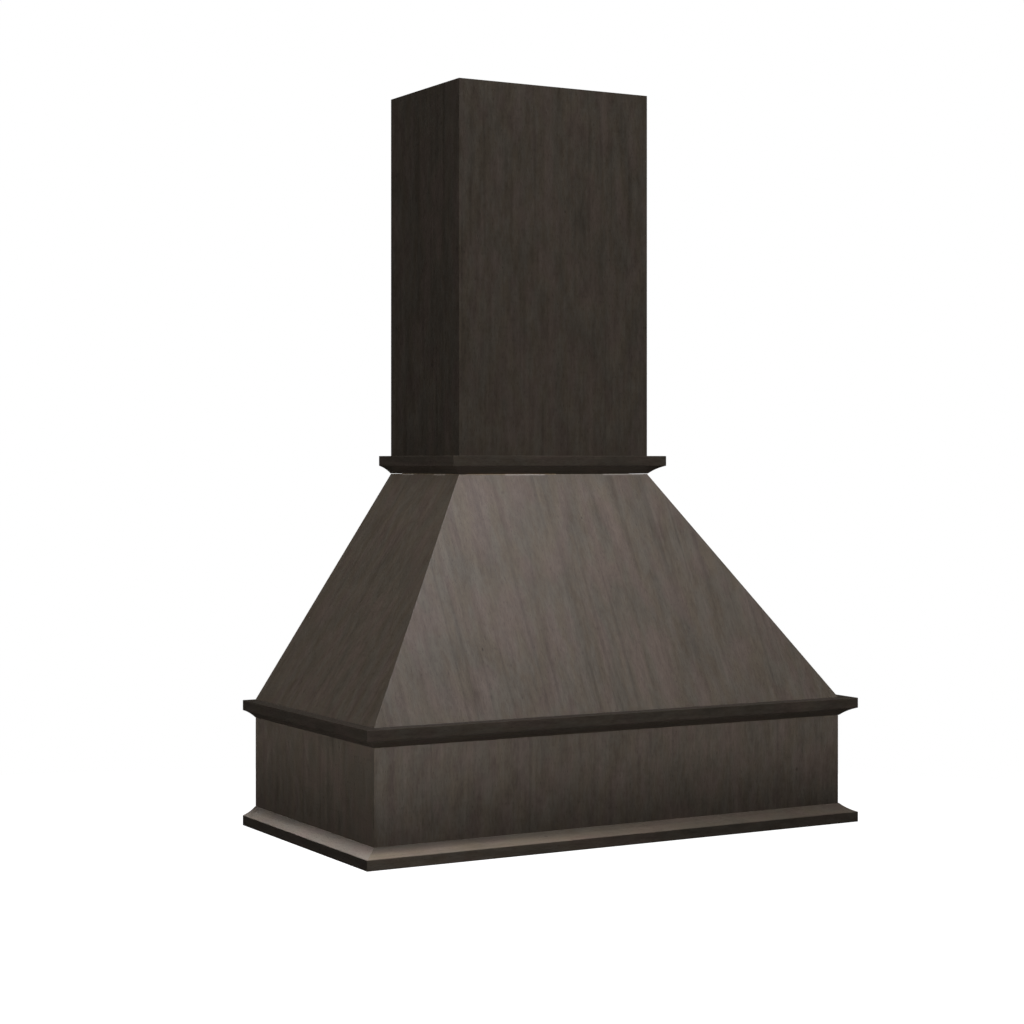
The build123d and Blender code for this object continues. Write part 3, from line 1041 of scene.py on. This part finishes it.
@dataclass
class Studio:
    """The camera, the lamps, the pale floor and the dark flags that only reflections see."""

    focal_length: float = 75.41
    sensor: float = 36.0
    shift: tuple[float, float] = (0.0710, -0.0504)
    camera_place: Vector = Vector((-1.8637, -3.2632, 0.6019))
    camera_heading: float = -28.55
    floor_height: float = -1.65
    floor_reach: float = 12.0
    floor_grey: float = 0.22
    floor_pale: float = 0.45
    floor_glow: float = 0.62
    floor_whitens: tuple[float, float] = (2.5, 5.0)
    ambient: float = 0.25
    flag_radius: float = 5.5
    flag_top: float = 7.0
    flag_lift: float = 0.01
    flag_cloth: Colour = (0.004, 0.004, 0.004)
    floor_facets: int = 96
    flag_facets: int = 64
    middle: Vector = Vector((0.0, -0.25, 0.45))
    cold: Colour = (0.94, 1.0, 1.13)
    cool: Colour = (0.965, 1.0, 1.075)
    clear: Colour = (0.985, 1.0, 1.035)

    def camera(self) -> None:
        """Sets the camera at the photograph's place, level, with its framing as a shift."""
        data = bpy.data.cameras.new("camera")
        data.lens = self.focal_length
        data.sensor_width = self.sensor
        data.shift_x, data.shift_y = self.shift
        camera = bpy.data.objects.new("camera", data)
        camera.location = self.camera_place
        camera.rotation_euler = (math.radians(90.0), 0.0, math.radians(self.camera_heading))
        bpy.context.scene.collection.objects.link(camera)
        bpy.context.scene.camera = camera

    @staticmethod
    def seen(graph: Graph) -> Scalar:
        """Tells rays that look at a thing from those that are lit by it.

        Args:
            graph: The graph to add to.

        Returns:
            1 for rays from the camera and for those in reflections and glass, or else 0.
        """
        path = graph.node("LightPath")
        seen = graph.scalar(path, "Is Camera Ray") + graph.scalar(path, "Is Glossy Ray")
        return graph.math("MINIMUM", seen + graph.scalar(path, "Is Transmission Ray"), 1.0)

    def surroundings(self) -> None:
        """Makes the world white to look at, and faint as a source of light."""
        world = bpy.data.worlds.new("surroundings")
        bpy.context.scene.world = world
        graph = Graph(world)
        colour = graph.mix(self.seen(graph), (self.ambient,) * 3, WHITE)
        background = graph.node("Background", None, {"Color": colour, "Strength": 1.0})
        graph.node("OutputWorld", None, {"Surface": background.outputs[0]})

    @staticmethod
    def stage_piece(name: str, mesh: bmesh.types.BMesh, material: bpy.types.Material) -> bpy.types.Object:
        """Puts a mesh on the stage.

        Args:
            name: The piece's name.
            mesh: Its shape, which is used up.
            material: Its material.

        Returns:
            The new object.
        """
        data = bpy.data.meshes.new(name)
        mesh.to_mesh(data)
        mesh.free()
        data.materials.append(material)
        piece = bpy.data.objects.new(name, data)
        bpy.context.scene.collection.objects.link(piece)
        return piece

    def floor(self) -> None:
        """Lays a pale floor as far below the cover as a kitchen's is, which keeps the cover's shadow.

        It is clear from underneath, so that the cover can be looked at from there.
        """
        material = bpy.data.materials.new("floor")
        graph = Graph(material)
        place = graph.node("TexCoord").outputs["Object"]
        far = graph.smooth(graph.length(place), *self.floor_whitens)
        bare, pale = (
            graph.node("BsdfDiffuse", None, {"Color": (grey, grey, grey, 1.0)}).outputs[0]
            for grey in (self.floor_grey, self.floor_pale)
        )
        glow = graph.mix(far, (self.floor_glow,) * 3, WHITE)
        glow = graph.node("Emission", None, {"Color": glow, "Strength": 1.0}).outputs[0]
        lit = graph.node("AddShader", None, {0: pale, 1: glow}).outputs[0]
        above = graph.node("MixShader", None, {0: self.seen(graph), 1: bare, 2: lit}).outputs[0]
        clear = graph.node("BsdfTransparent").outputs[0]
        below = graph.node("NewGeometry").outputs["Backfacing"]
        either = graph.node("MixShader", None, {0: below, 1: above, 2: clear})
        graph.node("OutputMaterial", None, {"Surface": either.outputs[0]})
        mesh = bmesh.new()
        bmesh.ops.create_circle(mesh, cap_ends=True, radius=self.floor_reach, segments=self.floor_facets)
        floor = self.stage_piece("floor", mesh, material)
        floor.location.z = self.floor_height

    def flags(self) -> None:
        """Stands dark cloth round the cover, which keeps the white surroundings out of its sheen."""
        material = bpy.data.materials.new("flags")
        graph = Graph(material)
        cloth = graph.node("BsdfDiffuse", None, {"Color": (*self.flag_cloth, 1.0)})
        graph.node("OutputMaterial", None, {"Surface": cloth.outputs[0]})
        mesh = bmesh.new()
        bmesh.ops.create_circle(mesh, cap_ends=True, radius=self.flag_radius, segments=self.flag_facets)
        edges = [edge for edge in mesh.edges if edge.is_boundary]
        wall = bmesh.ops.extrude_edge_only(mesh, edges=edges)["geom"]
        top = [item for item in wall if isinstance(item, bmesh.types.BMVert)]
        bmesh.ops.translate(mesh, verts=top, vec=(0.0, 0.0, self.flag_top - self.floor_height))
        flags = self.stage_piece("flags", mesh, material)
        flags.location.z = self.floor_height + self.flag_lift
        flags.visible_camera = False
        flags.visible_diffuse = False
        flags.visible_transmission = False
        flags.visible_volume_scatter = False
        flags.visible_shadow = False

    @staticmethod
    def raw_pieces() -> tuple[str, ...]:
        """The CAD nodes that carry no stain."""
        panels = [f"{casing}_{side.word}_panel" for casing in CASINGS for side in Side]
        return tuple(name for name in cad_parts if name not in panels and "_moulding_" not in name)

    def main_lamps(self) -> list[Lamp]:
        """Lists the softboxes that light the stained outside as a whole.

        Returns:
            The lamps.
        """
        raw = self.raw_pieces()
        middle = self.middle
        return [
            Lamp("overhead", (0.0, -0.4, 5.0), middle, (1.8, 1.8), 191.4, glossy=False, spares=raw),
            Lamp("near", (0.15, -1.2, 2.9), middle, (1.2, 1.2), 28.5, spares=raw),
            Lamp("fill", (-4.0, -2.0, 1.5), middle, (2.0, 2.0), 21.2, glossy=False),
        ]

    def upper_lamps(self) -> list[Lamp]:
        """Lists the small lamps for the fronts of the canopy and of the chimney's foot.

        Returns:
            The lamps.
        """
        brow = Vector((-0.1, -0.28, 0.5))
        foot = Vector((0.0, -0.24, 0.65))
        brows = {"lights": ("canopy_front_panel",), "tint": self.cold}
        foots = {"lights": ("chimney_front_panel",)}
        return [
            Lamp("brow", (-0.25, -0.72, 1.28), brow, (0.4, 0.4), 6.8, **brows),
            Lamp("soft_brow", (-0.50, -0.72, 0.95), brow, (0.4, 0.4), 3.6, glossy=False, **brows),
            Lamp("foot", (0.0, -0.75, 0.62), foot, (0.3, 0.1), 0.15, glossy=False, **foots),
        ]

    def moulding_lamps(self) -> list[Lamp]:
        """Lists the lamps for the mouldings.

        Returns:
            The lamps.
        """
        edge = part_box("base_moulding_front")[0]
        sill = Vector((edge.x, edge.y, 0.0))
        left_sill = Vector((edge.x, -0.3, 0.0))
        bands = tuple(f"{band}_moulding_{side.word}" for band in ("waist", "neck") for side in Side)
        sills = {"glossy": False, "lights": ("base_moulding_front",)}
        left_sills = {"glossy": False, "lights": ("base_moulding_left",), "tint": self.cold}
        return [
            Lamp("bounce", (-1.2, -1.9, -1.5), self.middle, (1.2, 1.2), 14.0, glossy=False, lights=bands),
            Lamp("sill", (-0.47, -0.52, 0.60), sill, (0.3, 0.3), 12.9, **sills),
            Lamp("left_sill", (-0.435, -0.42, 0.75), left_sill, (0.1, 0.1), 27.5, **left_sills),
        ]

    def apron_lamps(self) -> list[Lamp]:
        """Lists the lamps that make the apron paler towards its top and its front left corner.

        Returns:
            The lamps.
        """
        low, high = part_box("apron_front_panel")
        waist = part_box("waist_moulding_front")[0].z
        front = Vector((0.0, low.y, waist))
        corner = Vector((low.x, low.y, waist))
        left = Vector((low.x, low.y / 2, waist))
        right = Vector((high.x, low.y / 2, waist))
        fronts, lefts, rights = (
            {"glossy": False, "lights": (f"apron_{side.word}_panel",)} for side in Side
        )
        ahead, aside = Vector((0.0, -0.35, 0.0)), Vector((0.35, 0.0, 0.0))
        above = Vector((-0.6, 0.0, 0.33))
        beside = Vector((-0.07, -0.25, 0.15))
        washes = {"spread": 48.0}
        return [
            Lamp("wash", front + ahead, front, (1.17, 0.06), 0.36, tint=self.clear, **fronts, **washes),
            Lamp("corner", corner + beside, corner, (0.08, 0.08), 0.45, tint=self.cool, **fronts),
            Lamp("left_wash", left - aside, left, (0.73, 0.06), 0.14, **lefts, **washes),
            Lamp("left_high", left + above, left, (0.6, 0.12), 0.80, **lefts),
            Lamp("right_wash", right + aside, right, (0.73, 0.06), 0.18, **rights, **washes),
        ]

    def hidden_lamps(self) -> list[Lamp]:
        """Lists the lamps for the bare wood, the back and the underside.

        Returns:
            The lamps.
        """
        middle = self.middle
        return [
            Lamp("raw_top", (0.0, -0.1, 3.6), middle, (1.2, 1.2), 42.0, lights=self.raw_pieces()),
            Lamp("behind", (0.0, 3.0, 0.2), middle, (0.36, 1.6), 62.0, glossy=False),
            Lamp("under", (0.0, -0.15, -1.4), middle, (0.8, 0.8), 9.0),
        ]

    def hang_lamps(self) -> None:
        """Hangs every lamp, of which only the hidden ones get shadows from the chimney and the mouldings."""
        thin = tuple(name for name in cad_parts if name.startswith("chimney_") or "_moulding_" in name)
        outside = self.main_lamps() + self.upper_lamps() + self.moulding_lamps() + self.apron_lamps()
        for lamp in [replace(lamp, past=thin) for lamp in outside] + self.hidden_lamps():
            lamp.build()

    def build(self) -> None:
        """Sets up everything round the cover."""
        bpy.context.scene.view_settings.view_transform = "Standard"
        self.camera()
        self.surroundings()
        self.floor()
        self.flags()
        self.hang_lamps()


def main() -> None:
    """Sets up the studio and finishes the cover module by module."""
    logging.basicConfig(level=logging.INFO, format="%(name)s %(message)s")
    Studio().build()
    # The base runs get painted shade in their hollow, and none on their level tops.
    base = MouldingBand("base", wood=StainedWood.DARK_SOLID, pooling=0.72, left_pooling=0.27, standing=0.0)
    for module in (Apron(), Canopy(), Chimney(), base, MouldingBand("waist"), MouldingBand("neck")):
        module.build()


if __name__ == "__main__":
    main()
